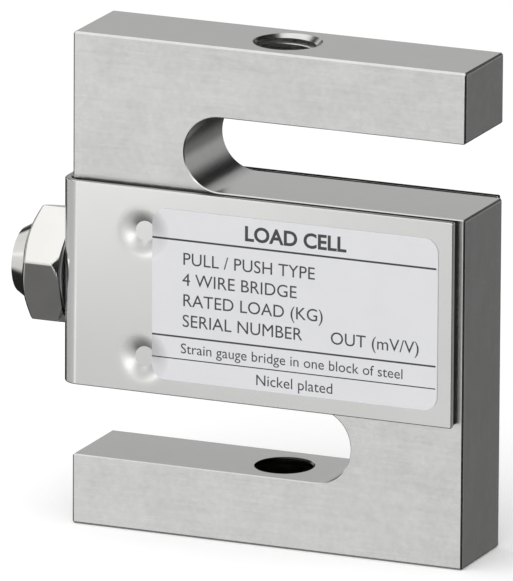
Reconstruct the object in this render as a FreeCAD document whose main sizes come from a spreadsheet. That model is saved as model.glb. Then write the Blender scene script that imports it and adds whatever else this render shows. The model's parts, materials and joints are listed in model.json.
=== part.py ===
import FreeCAD, Part
import math
import os
import re
import Sketcher
from FreeCAD import Placement, Rotation, Vector

# S-type load cell in millimetres. The origin is on the bottom face, on the load axis.
# +Z runs up the load axis, +X is to the right and the name plate faces -Y.
# The overall height and width follow from the stack of arms, slots, flexures, cavity and end walls.

DRIVING_SIZES = {
    # Milled block
    "arm_height": 8.7,
    "slot_height": 9.2,
    "flexure_thickness": 2.8,
    "cavity_diameter": 19.6,
    "cavity_pitch": 13.0,
    "end_wall": 9.1,
    "column_width": 14.5,
    "body_thickness": 11.7,
    "edge_chamfer": 0.25,
    "slot_break": 0.12,
    # Tapped load holes
    "thread_bore": 6.8,
    "thread_mouth": 8.4,
    "thread_break": 0.22,
    # Folded sheet cover
    "sheet_thickness": 0.8,
    "cover_standoff": 0.8,
    "cover_setback": 0.9,
    "cover_overhang": 0.03,
    "cover_drop": 0.07,
    "cover_corner": 0.2,
    "cover_clearance": 0.19,
    "bend_radius": 2.4,
    # Weld dimples pressed into the cover
    "dimple_inset": 9.9,
    "dimple_drop": 0.65,
    "dimple_mouth": 7.4,
    "dimple_flat": 2.5,
    # Sealing beads between cover and block
    "seal_inset": 0.15,
    "seal_width": 0.33,
    "seal_clearance": 0.05,
    # Name plate film
    "plate_width": 36.9,
    "plate_height": 21.1,
    "plate_margin": 1.8,
    "plate_drop": 0.15,
    "plate_corner": 1.8,
    "film_thickness": 0.12,
    # Cable gland
    "gland_turn": 14.1,
    "gland_bore": 8.0,
    "bush_seat": 1.1,
    "bush_length": 3.6,
    "bush_hole": 4.8,
    "thrust_thickness": 0.6,
    "washer_thickness": 0.2,
    "washer_diameter": 13.4,
    "thread_clearance": 0.05,
    "ring_clearance": 0.1,
    "hex_flats": 13.8,
    "hex_length": 4.95,
    "hex_face": 13.4,
    "hex_seat": 13.9,
    "neck_length": 0.25,
    "neck_diameter": 10.2,
    "nose_length": 2.35,
    "nose_rim": 0.15,
    "nose_diameter": 10.6,
    "nose_tip": 8.07,
    "cable_hole": 5.4,
    "cable_bevel": 0.4,
    # Strain gauges and solder terminals, bonded to the cavity wall
    "gauge_span": 36.0,
    "gauge_width": 5.0,
    "gauge_thickness": 0.1,
    "terminal_span": 9.0,
    "terminal_width": 4.0,
    "terminal_thickness": 0.3,
    # Bridge board behind the cavity, and its ribbon leads
    "board_width": 14.0,
    "board_thickness": 0.8,
    "board_clearance": 1.8,
    "tape_thickness": 1.0,
    "tape_side": 6.0,
    "chip_length": 1.0,
    "chip_width": 1.6,
    "chip_thickness": 0.45,
    "chip_pitch": 1.8,
    "pad_length": 1.4,
    "pad_width": 1.0,
    "pad_thickness": 0.1,
    "pad_margin": 2.85,
    "pad_inset": 0.4,
    "lead_width": 0.4,
    "lead_thickness": 0.1,
    "lead_spacing": 1.4,
    "lead_inset": 0.8,
    "lead_step": 1.2,
    "solder_gap": 0.05,
}

DERIVED_SIZES = {
    "gauge_section": "cavity_diameter + 2 * flexure_thickness",
    "body_height": "gauge_section + 2 * (arm_height + slot_height)",
    "body_width": "cavity_pitch + cavity_diameter + 2 * end_wall",
    "half_height": "body_height / 2",
    "half_width": "body_width / 2",
    "half_thickness": "body_thickness / 2",
    "cavity_radius": "cavity_diameter / 2",
    "slot_end": "half_width - column_width - slot_height / 2",
    "cover_inner": "half_thickness + cover_standoff",
    "cover_face": "cover_inner + sheet_thickness",
    "cover_edge": "half_width - cover_setback",
    "cover_height": "gauge_section + 2 * cover_overhang",
    "cover_centre": "half_height - cover_drop",
    "inner_bend": "bend_radius - sheet_thickness",
    "bend_reach": "inner_bend - cover_standoff - edge_chamfer",
    "wall_gap": "inner_bend - sqrt(inner_bend ^ 2 - bend_reach ^ 2) + cover_clearance",
    "wall_inner": "half_width + wall_gap",
    "wall_face": "wall_inner + sheet_thickness",
    "seal_room": "seal_inset + seal_width + seal_clearance",
    "dimple_spacing": "cover_height - dimple_mouth - 2 * (seal_room + dimple_drop)",
    "dimple_place": "half_width - dimple_inset",
    "dimple_reach": "(dimple_mouth - dimple_flat) / 2",
    "dimple_curve": "(dimple_reach ^ 2 + cover_standoff ^ 2) / (2 * cover_standoff)",
    "dimple_centre": "half_height - dimple_drop",
    "plate_right": "cover_edge - plate_margin",
    "plate_centre": "half_height - plate_drop",
    "gland_depth": "end_wall - bush_seat",
    "bush_start": "gland_depth - bush_length - half_width",
    "stem_end": "bush_start - thrust_thickness",
    "hex_right": "-wall_face - washer_thickness",
    "hex_left": "hex_right - hex_length",
    "hex_corner": "hex_flats / 2 / cos(30)",
    "hex_bevel": "(hex_corner - hex_face / 2) * tan(30)",
    "seat_bevel": "(hex_corner - hex_seat / 2) * tan(30)",
    "neck_left": "hex_left - neck_length",
    "nose_left": "neck_left - nose_length",
    "stem_radius": "gland_bore / 2 - thread_clearance",
    "cusp_angle": "asin(cavity_pitch / cavity_diameter) / 1 deg",
    "terminal_angle": "(gauge_span / 2 + cusp_angle) / 2",
    "waist": "sqrt(cavity_radius ^ 2 - (cavity_pitch / 2) ^ 2)",
    "board_height": "2 * (waist - board_clearance)",
    "board_back": "cover_inner - tape_thickness",
    "board_front": "board_back - board_thickness",
    "pad_pitch": "(board_height - 2 * pad_margin) / 3",
    "lead_start": "cavity_radius - terminal_thickness - solder_gap",
}

SHEET = "Sizes"
NAMES = set(DRIVING_SIZES) | set(DERIVED_SIZES)
TOUCH = 1e-6

doc = FreeCAD.newDocument("LoadCell")
sheet = doc.addObject("Spreadsheet::Sheet", SHEET)


def fill_sheet():
    """Write every size in its own row: plain numbers first, then the sizes worked out from them."""
    cells = [(name, str(number)) for name, number in DRIVING_SIZES.items()]
    cells += [(name, "=" + formula) for name, formula in DERIVED_SIZES.items()]
    for row, (name, content) in enumerate(cells, start=1):
        sheet.set(f"A{row}", name)
        sheet.set(f"B{row}", content)
        sheet.setAlias(f"B{row}", name)
    doc.recompute()


def sized(formula):
    """Formula with each size's name led by the sheet's, as an expression needs it."""
    return re.sub(r"[a-z_]+", lambda word: on_sheet(word.group()), str(formula))


def on_sheet(word):
    return f"{SHEET}.{word}" if word in NAMES else word


def value(formula):
    return float(sheet.evalExpression(sized(formula)))


def bind(item, **formulas):
    for name, formula in formulas.items():
        item.setExpression(name.replace("__", "."), sized(formula))


def new_body(label, place=("0", "0", "0"), axis=Vector(0, 0, 1), angle="0"):
    """Empty body at a place, turned by an angle about an axis, all bound to the sheet."""
    body = doc.addObject("PartDesign::Body", label)
    body.Placement = Placement(Vector(*[value(part) for part in place]), Rotation(axis, value(angle)))
    bind(body, Placement__Base__x=place[0], Placement__Base__y=place[1], Placement__Base__z=place[2])
    if angle != "0":
        bind(body, Placement__Rotation__Angle=angle)
    return body


def new_sketch(body, plane, name, shift=("0", "0", "0")):
    """Sketch on one of the body's own planes, moved by a shift given in the sketch's directions."""
    sketch = body.newObject("Sketcher::SketchObject", name)
    support = [part for part in body.Origin.OriginFeatures if part.Role == plane]
    sketch.AttachmentSupport = [(support[0], "")]
    sketch.MapMode = "FlatFace"
    bind(
        sketch,
        AttachmentOffset__Base__x=shift[0],
        AttachmentOffset__Base__y=shift[1],
        AttachmentOffset__Base__z=shift[2],
    )
    return sketch


def pin(sketch, geometry, point, across=None, up=None):
    """Hold one point of the sketch at formulas for its two coordinates."""
    for kind, formula, axis in (("DistanceX", across, -2), ("DistanceY", up, -1)):
        if formula is None:
            continue
        if formula == "0":
            sketch.addConstraint(Sketcher.Constraint("PointOnObject", geometry, point, axis))
        else:
            held = Sketcher.Constraint(kind, -1, 1, geometry, point, value(formula))
            index = sketch.addConstraint(held)
            sketch.setExpression(f"Constraints[{index}]", sized(formula))


def outline(sketch, corners, arcs=None):
    """Closed outline through the corners. arcs gives a side's centre and whether it turns clockwise."""
    arcs = arcs or {}
    points = [Vector(value(across), value(up), 0) for across, up in corners]
    first = sketch.GeometryCount
    sides = len(corners)
    ends = []
    for side in range(sides):
        tail = points[side]
        head = points[(side + 1) % sides]
        if side not in arcs:
            sketch.addGeometry(Part.LineSegment(tail, head), False)
            ends.append((1, 2))
            continue
        across, up, clockwise = arcs[side]
        centre = Vector(value(across), value(up), 0)
        begin, end = (head, tail) if clockwise else (tail, head)
        circle = Part.Circle(centre, Vector(0, 0, 1), (tail - centre).Length)
        angles = [math.atan2(spot.y - centre.y, spot.x - centre.x) for spot in (begin, end)]
        sketch.addGeometry(Part.ArcOfCircle(circle, *angles), False)
        ends.append((2, 1) if clockwise else (1, 2))
    for side in range(sides):
        following = (side + 1) % sides
        joined = (first + side, ends[side][1], first + following, ends[following][0])
        sketch.addConstraint(Sketcher.Constraint("Coincident", *joined))
        pin(sketch, first + side, ends[side][0], *corners[side])
    for side, (across, up, clockwise) in arcs.items():
        chord = points[(side + 1) % sides] - points[side]
        if abs(chord.x) < abs(chord.y):
            pin(sketch, first + side, 3, across=across)
        else:
            pin(sketch, first + side, 3, up=up)


def rectangle(sketch, left, right, low, high):
    outline(sketch, [(left, low), (right, low), (right, high), (left, high)])


def circle(sketch, across, up, diameter):
    shape = Part.Circle(Vector(value(across), value(up), 0), Vector(0, 0, 1), value(diameter) / 2)
    geometry = sketch.addGeometry(shape, False)
    pin(sketch, geometry, 3, across, up)
    index = sketch.addConstraint(Sketcher.Constraint("Diameter", geometry, value(diameter)))
    sketch.setExpression(f"Constraints[{index}]", sized(diameter))


def add_feature(body, kind, sketch, sizes=None, **settings):
    """Feature made from a sketch, its sizes bound to the sheet. A cut that takes nothing away is an error."""
    doc.recompute()
    before = body.Shape.Volume if body.Tip else 0.0
    feature = body.newObject("PartDesign::" + kind, f"{sketch.Name}_{kind.lower()}")
    feature.Profile = sketch
    for name, setting in settings.items():
        setattr(feature, name, setting)
    bind(feature, **(sizes or {}))
    doc.recompute()
    if kind in ("Pocket", "Groove", "Hole") and body.Shape.Volume >= before:
        raise RuntimeError(f"{feature.Name} cuts nothing")
    return feature


def pad(body, sketch, length, side="Symmetric"):
    return add_feature(body, "Pad", sketch, {"Length": length}, SideType=side)


def pocket(body, sketch, length, side="Symmetric", reverse=False):
    return add_feature(body, "Pocket", sketch, {"Length": length}, SideType=side, Reversed=reverse)


def dress(body, kind, wanted, size):
    """Fillet or chamfer on the edges of the body's last feature that pass the wanted test."""
    doc.recompute()
    base = body.Tip
    edges = [f"Edge{n}" for n, edge in enumerate(base.Shape.Edges, start=1) if wanted(edge)]
    feature = body.newObject("PartDesign::" + kind, f"{base.Name}_{kind.lower()}")
    feature.Base = (base, edges)
    bind(feature, **{"Radius" if kind == "Fillet" else "Size": size})
    doc.recompute()
    return feature


def runs_along(edge, direction):
    if not isinstance(edge.Curve, Part.Line):
        return False
    return edge.tangentAt(edge.FirstParameter).cross(direction).Length < TOUCH


def make_spring_body():
    """Block milled to an S by two slots, with the gauge cavity, the tapped holes and the gland's bore."""
    body = new_body("spring_body")
    block = new_sketch(body, "XZ_Plane", "block_outline")
    rectangle(block, "-half_width", "half_width", "0", "body_height")
    pad(body, block, "body_thickness")

    slots = {
        "upper_slot": (1, "body_height - arm_height - slot_height / 2"),
        "lower_slot": (-1, "arm_height + slot_height / 2"),
    }
    for name, (side, centre) in slots.items():
        mouth = f"{side} * (half_width + slot_height)"
        bottom = f"{-side} * slot_end"
        near = f"{centre} - {side} * slot_height / 2"
        far = f"{centre} + {side} * slot_height / 2"
        slot = new_sketch(body, "XZ_Plane", name)
        corners = [(mouth, near), (mouth, far), (bottom, far), (bottom, near)]
        outline(slot, corners, arcs={2: (bottom, centre, False)})
        pocket(body, slot, "2 * body_thickness")
    dress(body, "Chamfer", on_block_edge, "edge_chamfer")
    dress(body, "Chamfer", on_slot_rim, "slot_break")

    for name, side in (("left_cavity", -1), ("right_cavity", 1)):
        bore = new_sketch(body, "XZ_Plane", name)
        circle(bore, f"{side} * cavity_pitch / 2", "half_height", "cavity_diameter")
        pocket(body, bore, "2 * body_thickness")

    for name, height, upward in (("upper_thread", "body_height", False), ("lower_thread", "0", True)):
        tapped_hole(body, name, height, upward)
    dress(body, "Chamfer", on_inner_mouth, "thread_break")

    for name, diameter, depth in (
        ("gland_socket", "gland_bore", "gland_depth"),
        ("cable_passage", "cable_hole", "end_wall + cavity_radius / 2"),
    ):
        bore = new_sketch(body, "YZ_Plane", name, ("0", "0", "-half_width"))
        circle(bore, "0", "half_height", diameter)
        pocket(body, bore, depth, side="One side", reverse=True)
    return body


def on_block_edge(edge):
    """Whether an edge lies on the block's top, bottom, left or right face."""
    box = edge.BoundBox
    at_end = box.XLength < TOUCH and abs(abs(box.XMax) - value("half_width")) < TOUCH
    from_middle = abs(box.ZMax - value("half_height"))
    at_top_or_bottom = box.ZLength < TOUCH and abs(from_middle - value("half_height")) < TOUCH
    return at_end or at_top_or_bottom


def on_slot_rim(edge):
    """Whether an edge runs round a slot in the front or rear face."""
    box = edge.BoundBox
    on_face = box.YLength < TOUCH and abs(abs(box.YMax) - value("half_thickness")) < TOUCH
    from_middle = max(abs(height - value("half_height")) for height in (box.ZMin, box.ZMax))
    beside_arm = value("half_height - arm_height")
    return on_face and box.XLength > TOUCH and from_middle < beside_arm + TOUCH


def tapped_hole(body, name, height, upward):
    """Tap drill bore through one arm into its slot, with a countersunk mouth."""
    centre = new_sketch(body, "XY_Plane", name, ("0", "0", height))
    circle(centre, "0", "0", "thread_bore")
    add_feature(
        body,
        "Hole",
        centre,
        {"Diameter": "thread_bore", "Depth": "arm_height + slot_height / 2", "HoleCutDiameter": "thread_mouth"},
        DepthType="Dimension",
        DrillPoint="Flat",
        HoleCutType="Countersink",
        HoleCutCountersinkAngle=90,
        Reversed=upward,
    )


def on_inner_mouth(edge):
    """Whether an edge is the rim where a tapped hole opens into its slot."""
    if not isinstance(edge.Curve, Part.Circle):
        return False
    is_bore = abs(edge.Curve.Radius - value("thread_bore / 2")) < TOUCH
    from_middle = abs(edge.Curve.Center.z - value("half_height"))
    return is_bore and abs(from_middle - value("half_height - arm_height")) < TOUCH


def press_dimple(body, name, side, height):
    """Dish pressed into a cover plate until it touches the block: an arc outside, a plain cone inside."""
    for kind, start in (("Revolution", "cover_inner"), ("Groove", "cover_face")):
        shift = ("0", height, "-dimple_place")
        section = new_sketch(body, "YZ_Plane", f"{name}_{kind.lower()}_section", shift)
        flat = f"{side} * ({start} - cover_standoff)"
        corners = [
            (f"{side} * {start}", "0"),
            (flat, "0"),
            (flat, "dimple_flat / 2"),
            (f"{side} * {start}", "dimple_mouth / 2"),
        ]
        slope = (f"{side} * ({start} - dimple_curve)", "dimple_mouth / 2", side < 0)
        outline(section, corners, arcs={2: slope} if kind == "Groove" else None)
        add_feature(body, kind, section, ReferenceAxis=(section, ["H_Axis"]))


def make_cover():
    """Sheet folded to a U round the gauge section, held off the block by its weld dimples."""
    body = new_body("cover")
    middle = ("0", "0", "cover_centre")
    outside = new_sketch(body, "XY_Plane", "cover_outside", middle)
    rectangle(outside, "-wall_face", "cover_edge", "-cover_face", "cover_face")
    pad(body, outside, "cover_height")
    upright = Vector(0, 0, 1)
    dress(body, "Fillet", lambda edge: runs_along(edge, upright) and edge.CenterOfMass.x < 0, "bend_radius")

    inside = new_sketch(body, "XY_Plane", "cover_inside", middle)
    rectangle(inside, "-wall_inner", "cover_edge + sheet_thickness", "-cover_inner", "cover_inner")
    pocket(body, inside, "2 * cover_height")
    inner_corner = value("-wall_inner")
    dress(
        body,
        "Fillet",
        lambda edge: runs_along(edge, upright) and abs(edge.CenterOfMass.x - inner_corner) < TOUCH,
        "inner_bend",
    )
    plate_end = value("cover_edge")
    through = Vector(0, 1, 0)
    dress(
        body,
        "Fillet",
        lambda edge: runs_along(edge, through) and abs(edge.CenterOfMass.x - plate_end) < TOUCH,
        "cover_corner",
    )

    gland_hole = new_sketch(body, "YZ_Plane", "gland_hole", ("0", "0", "-wall_face"))
    circle(gland_hole, "0", "half_height", "gland_bore + 2 * ring_clearance")
    pocket(body, gland_hole, "2 * sheet_thickness", side="One side", reverse=True)

    for plate, side in (("front", -1), ("rear", 1)):
        for level, sign in (("upper", "+"), ("lower", "-")):
            height = f"dimple_centre {sign} dimple_spacing / 2"
            press_dimple(body, f"{plate}_{level}", side, height)
    return body


def make_nameplate():
    """Film on the cover's front plate, stretched flat over the edges of the dimples, with round corners."""
    body = new_body("nameplate")
    shape = new_sketch(body, "XZ_Plane", "film_shape", ("0", "plate_centre", "cover_face"))
    half_plate = "plate_height / 2"
    rectangle(shape, "plate_right - plate_width", "plate_right", f"-{half_plate}", half_plate)
    pad(body, shape, "film_thickness", side="One side")
    dress(body, "Fillet", lambda edge: runs_along(edge, Vector(0, 1, 0)), "plate_corner")
    return body


def make_seal(label, start, reverse):
    """Bead of sealant round the cavity, filling the gap between the block and one cover plate."""
    body = new_body(label)
    ring = new_sketch(body, "XZ_Plane", label + "_ring", ("0", "half_height", start))
    for inset in ("0", "seal_width"):
        high = f"(cover_height / 2 - seal_inset - {inset})"
        left = f"bend_radius - wall_face + {inset}"
        rectangle(ring, left, f"cover_edge - seal_inset - {inset}", f"-{high}", high)
    bead = pad(body, ring, "cover_standoff", side="One side")
    bead.Reversed = reverse
    return body


def make_gland_screw():
    """Hollow hex screw with a coned nose: one turned piece, with six flats milled on its head."""
    body = new_body("gland_screw", ("0", "0", "half_height"), Vector(1, 0, 0), "-gland_turn")
    turned = new_sketch(body, "XZ_Plane", "turned_profile")
    hole = "cable_hole / 2"
    corners = [
        ("nose_left", f"{hole} + cable_bevel"),
        ("nose_left", "nose_tip / 2"),
        ("neck_left - nose_rim", "nose_diameter / 2"),
        ("neck_left", "nose_diameter / 2"),
        ("neck_left", "neck_diameter / 2"),
        ("hex_left", "neck_diameter / 2"),
        ("hex_left", "hex_face / 2"),
        ("hex_left + hex_bevel", "hex_corner"),
        ("hex_right - seat_bevel", "hex_corner"),
        ("hex_right", "hex_seat / 2"),
        ("hex_right", "stem_radius"),
        ("stem_end", "stem_radius"),
        ("stem_end", hole),
        ("nose_left + cable_bevel", hole),
    ]
    outline(turned, corners)
    add_feature(body, "Revolution", turned, ReferenceAxis=(turned, ["H_Axis"]))

    flats = new_sketch(body, "YZ_Plane", "hex_flats_outline", ("0", "0", "hex_right"))
    across = ["1", "1 / 2", "-1 / 2", "-1", "-1 / 2", "1 / 2"]
    up = ["0", "sin(60)", "sin(60)", "0", "-sin(60)", "-sin(60)"]
    hexagon = [(f"hex_corner * {y}", "0" if z == "0" else f"hex_corner * {z}") for y, z in zip(across, up)]
    outline(flats, hexagon)
    circle(flats, "0", "0", "3 * hex_corner")
    pocket(body, flats, "hex_length", side="One side")
    return body


def make_ring(label, start, length, outer, inner):
    """Plain ring on the gland's axis, from its left end towards the cavity."""
    body = new_body(label)
    section = new_sketch(body, "YZ_Plane", label + "_section", ("0", "0", start))
    circle(section, "0", "half_height", outer)
    circle(section, "0", "half_height", inner)
    pad(body, section, length, side="One side")
    return body


def make_bonded_film(label, side, angle, span, thickness, width):
    """Film bonded to one cavity bore, centred at an angle from the top of the bore."""
    body = new_body(label, (f"{side} * cavity_pitch / 2", "0", "half_height"), Vector(0, 1, 0), angle)
    section = new_sketch(body, "XZ_Plane", label + "_section")
    face = f"(cavity_radius - {thickness})"
    lean = f"sin({span} / 2)"
    rise = f"cos({span} / 2)"
    corners = [
        (f"-cavity_radius * {lean}", f"cavity_radius * {rise}"),
        (f"-{face} * {lean}", f"{face} * {rise}"),
        (f"{face} * {lean}", f"{face} * {rise}"),
        (f"cavity_radius * {lean}", f"cavity_radius * {rise}"),
    ]
    outline(section, corners, arcs={1: ("0", "0", True), 3: ("0", "0", False)})
    pad(body, section, width)
    return body


def make_lead(label, side, angle, start, landing):
    """Flat ribbon that leaves a terminal square to the wall, folds to the rear and ends on the board."""
    body = new_body(label, (f"{side} * cavity_pitch / 2", "0", "half_height"), Vector(0, 1, 0), angle)
    route = new_sketch(body, "YZ_Plane", label + "_route")
    front = f"{start} - lead_thickness / 2"
    rear = f"{start} + lead_thickness / 2"
    under = f"{landing} - lead_thickness / 2"
    over = f"{landing} + lead_thickness / 2"
    corners = [
        (front, "lead_start"),
        (front, under),
        ("board_front", under),
        ("board_front", over),
        (rear, over),
        (rear, "lead_start"),
    ]
    outline(route, corners)
    pad(body, route, "lead_width")
    return body


def make_leads(label, side, angle):
    """Pair of ribbons from one terminal, landing one behind the other on the board."""
    pair = []
    for name, sign, extra in (("near", "", "0"), ("far", "-", "lead_step")):
        landing = f"(board_height / 2 - lead_inset - {extra}) / cos(terminal_angle)"
        pair.append(make_lead(f"{label}_{name}", side, angle, f"{sign}lead_spacing / 2", landing))
    return group(label, pair)


def group(label, pieces):
    compound = doc.addObject("Part::Compound", label)
    compound.Links = pieces
    return compound


def make_slab(label, centre, front, size):
    """Flat piece in the plane of the front face: its centre in X and Z, its front face and its size."""
    slab = doc.addObject("Part::Box", label)
    width, thickness, height = size
    bind(slab, Length=width, Width=thickness, Height=height)
    bind(slab, Placement__Base__x=f"{centre[0]} - {width} / 2", Placement__Base__y=front)
    bind(slab, Placement__Base__z=f"half_height + {centre[1]} - {height} / 2")
    return slab


def make_board():
    """Bridge board on its tape, with a row of chip resistors and a column of solder pads."""
    board = make_slab("bridge_board", ("0", "0"), "board_front", ("board_width", "board_thickness", "board_height"))
    tape = make_slab("board_tape", ("0", "0"), "board_back", ("tape_side", "tape_thickness", "tape_side"))
    places = [-1.5, -0.5, 0.5, 1.5]
    chip_size = ("chip_length", "chip_thickness", "chip_width")
    chip_face = "board_front - chip_thickness"
    chips = []
    for number, place in enumerate(places, start=1):
        chips.append(make_slab(f"chip_{number}", (f"{place} * chip_pitch", "0"), chip_face, chip_size))
    pad_size = ("pad_length", "pad_thickness", "pad_width")
    pad_column = "pad_inset + pad_length / 2 - board_width / 2"
    pads = []
    for number, place in enumerate(places, start=1):
        spot = (f"({pad_column})", f"{place} * pad_pitch")
        pads.append(make_slab(f"pad_{number}", spot, "board_front - pad_thickness", pad_size))
    return [board, tape, group("trim_resistors", chips), group("cord_pads", pads)]


def make_bridge():
    """Gauge, terminal and leads at each of the four flexures."""
    pieces = []
    for side_name, side in (("left", -1), ("right", 1)):
        for level, gauge_angle, terminal in (
            ("upper", "0", f"{-side} * terminal_angle"),
            ("lower", "180", f"180 + {side} * terminal_angle"),
        ):
            corner = f"{level}_{side_name}"
            gauge_size = ("gauge_span", "gauge_thickness", "gauge_width")
            terminal_size = ("terminal_span", "terminal_thickness", "terminal_width")
            pieces.append(make_bonded_film("gauge_" + corner, side, gauge_angle, *gauge_size))
            pieces.append(make_bonded_film("terminal_" + corner, side, terminal, *terminal_size))
            pieces.append(make_leads("leads_" + corner, side, terminal))
    return pieces


def make_gland():
    """Gland screw with its face washer, and the slip washer and rubber bush that it presses."""
    ring_fit = "gland_bore - 2 * ring_clearance"
    return [
        make_gland_screw(),
        make_ring("gland_face_washer", "hex_right", "washer_thickness", "washer_diameter", "gland_bore"),
        make_ring("gland_thrust_washer", "stem_end", "thrust_thickness", ring_fit, "cable_hole"),
        make_ring("gland_bush", "bush_start", "bush_length", ring_fit, "bush_hole"),
    ]


def check_and_write(nodes):
    """Stop on any failed object or bad shape, then write each node to its own file."""
    doc.recompute()
    failed = [item.Label for item in doc.Objects if {"Invalid", "Error"} & set(item.State)]
    failed += [node.Label for node in nodes if node.Shape.isNull() or not node.Shape.isValid()]
    if failed:
        raise RuntimeError(f"failed objects: {failed}")
    os.makedirs("parts", exist_ok=True)
    for node in nodes:
        node.Shape.exportStep(f"parts/{node.Label}.step")
        print(f"{node.Label}: {len(node.Shape.Solids)} solids, {node.Shape.Volume:.2f} mm3")


fill_sheet()
nodes = [make_spring_body(), make_cover(), make_nameplate()]
nodes += [make_seal("front_seal", "half_thickness", False), make_seal("rear_seal", "-half_thickness", True)]
nodes += make_gland()
nodes += make_bridge()
nodes += make_board()
check_and_write(nodes)
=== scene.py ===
# %% [markdown]
# An S-type load cell measures pull and push. Its body is one steel block, milled to the form of an S,
# and a folded sheet cover closes the hollow where the strain gauges sit. The solids come from the packed
# CAD frame with every size settled, so this lesson only gives them their finish: cut threads, broken
# edges, print, materials, light and a camera.

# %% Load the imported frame
import json
import math

import bmesh
import bpy
from mathutils import Matrix, Vector


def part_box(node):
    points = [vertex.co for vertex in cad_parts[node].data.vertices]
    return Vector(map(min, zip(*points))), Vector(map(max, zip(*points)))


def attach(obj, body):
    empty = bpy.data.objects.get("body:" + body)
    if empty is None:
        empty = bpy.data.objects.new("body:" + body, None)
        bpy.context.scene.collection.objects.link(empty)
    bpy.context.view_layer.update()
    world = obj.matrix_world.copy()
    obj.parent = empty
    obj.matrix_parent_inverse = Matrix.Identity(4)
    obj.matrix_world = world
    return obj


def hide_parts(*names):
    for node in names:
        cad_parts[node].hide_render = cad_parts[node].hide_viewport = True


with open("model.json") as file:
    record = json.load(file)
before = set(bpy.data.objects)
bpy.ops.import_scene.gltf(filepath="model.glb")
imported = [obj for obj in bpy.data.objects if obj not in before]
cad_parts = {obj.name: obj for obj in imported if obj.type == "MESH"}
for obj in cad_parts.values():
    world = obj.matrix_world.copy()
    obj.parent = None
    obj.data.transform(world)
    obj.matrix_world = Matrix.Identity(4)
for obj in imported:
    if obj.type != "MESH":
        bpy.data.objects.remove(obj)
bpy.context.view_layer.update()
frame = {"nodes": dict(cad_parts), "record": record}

nodes = frame["nodes"]
scene = bpy.context.scene
MM = 0.001


# %% [markdown]
# The camera comes first, because every later choice is judged through it. The picture was taken from
# far away with a long lens: the block's edges hardly converge. So the camera stands 1.7 m off, turned
# to the right and raised, and the lens is long enough for the cell to fill the frame. The focal length
# is worked out in pixels of the long side, and then turned into millimetres of a 36 mm sensor.

# %% Camera at the photograph's angle
IMAGE_LONG_SIDE = 581
FOCAL_PIXELS = 14330
SENSOR = 36.0
AZIMUTH = math.radians(23.17)
ELEVATION = math.radians(14.92)
ROLL = math.radians(0.32)
DISTANCE = 1713 * MM
SLIDE_RIGHT = -3.57 * MM
SLIDE_UP = -0.15 * MM
AIM = Vector((0, 0, 30.5 * MM))
CLIP_RANGE = (0.05, 50)


def new_object(name, data):
    """Object in the scene that holds a mesh, a lens, a lamp or an outline."""
    made = bpy.data.objects.new(name, data)
    scene.collection.objects.link(made)
    return made


def place_camera():
    """Long lens on a stand, aimed at the middle of the block and slid sideways to frame the gland."""
    forward = math.cos(AZIMUTH) * math.cos(ELEVATION)
    back = Vector((math.sin(AZIMUTH) * math.cos(ELEVATION), -forward, math.sin(ELEVATION)))
    level = Vector((math.cos(AZIMUTH), math.sin(AZIMUTH), 0))
    upright = back.cross(level)
    right = math.cos(ROLL) * level + math.sin(ROLL) * upright
    up = math.cos(ROLL) * upright - math.sin(ROLL) * level
    lens = bpy.data.cameras.new("camera")
    lens.sensor_width = SENSOR
    lens.lens = SENSOR * FOCAL_PIXELS / IMAGE_LONG_SIDE
    lens.clip_start, lens.clip_end = CLIP_RANGE
    stand = AIM + DISTANCE * back + SLIDE_RIGHT * right + SLIDE_UP * up
    turn = Matrix((right, up, back)).transposed().to_4x4()
    made = new_object("camera", lens)
    made.matrix_world = Matrix.Translation(stand) @ turn
    scene.camera = made
    return made


camera = place_camera()
print("camera at", [round(part, 3) for part in camera.location], "lens", round(camera.data.lens, 1), "mm")

# %% [markdown]
# The block and the cover are shown by welded copies of their CAD meshes, because details are cut into
# them that the solids leave out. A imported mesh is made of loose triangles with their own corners. Welding
# them and dissolving the flat ones gives clean faces that booleans and bevels can work on.

# %% Welded copies of CAD solids
WELD = 0.0005 * MM
FLAT = math.radians(0.2)


def open_mesh(mesh):
    """Editable copy of a mesh."""
    solid = bmesh.new()
    solid.from_mesh(mesh)
    return solid


def close_mesh(solid, mesh):
    """Write an editable copy to a mesh and let go of the copy."""
    solid.to_mesh(mesh)
    solid.free()
    return mesh


def welded_copy(node, name):
    """Copy of a CAD node's mesh with shared corners and whole flat faces."""
    solid = open_mesh(nodes[node].data)
    bmesh.ops.remove_doubles(solid, verts=solid.verts, dist=WELD)
    bmesh.ops.dissolve_limit(solid, angle_limit=FLAT, verts=solid.verts, edges=solid.edges)
    mesh = close_mesh(solid, bpy.data.meshes.new(name))
    if mesh.has_custom_normals:
        mesh.attributes.remove(mesh.attributes["custom_normal"])
    return new_object(name, mesh)


block = welded_copy("spring_body", "block")
print("block faces after welding:", len(block.data.polygons))

# %% [markdown]
# Both arms carry a tapped M8 hole. A thread could be faked with a bump texture, but one looks straight
# into the upper hole, where the grooves shade each other, so it is real geometry: a V-shaped cutter, swept
# along a helix, that grows shallow over its last steps.

# %% A cutter for threads
PITCH = 1.25 * MM
MAJOR_RADIUS = 4.0 * MM
CUTTER_RADIUS = 3.15 * MM
FLANK = math.radians(30)
ROOT_FLAT = PITCH / 8
STEPS_PER_TURN = 56
RUN_OUT_STEPS = 16
RUN_OUT_DEPTH = 0.2


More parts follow.
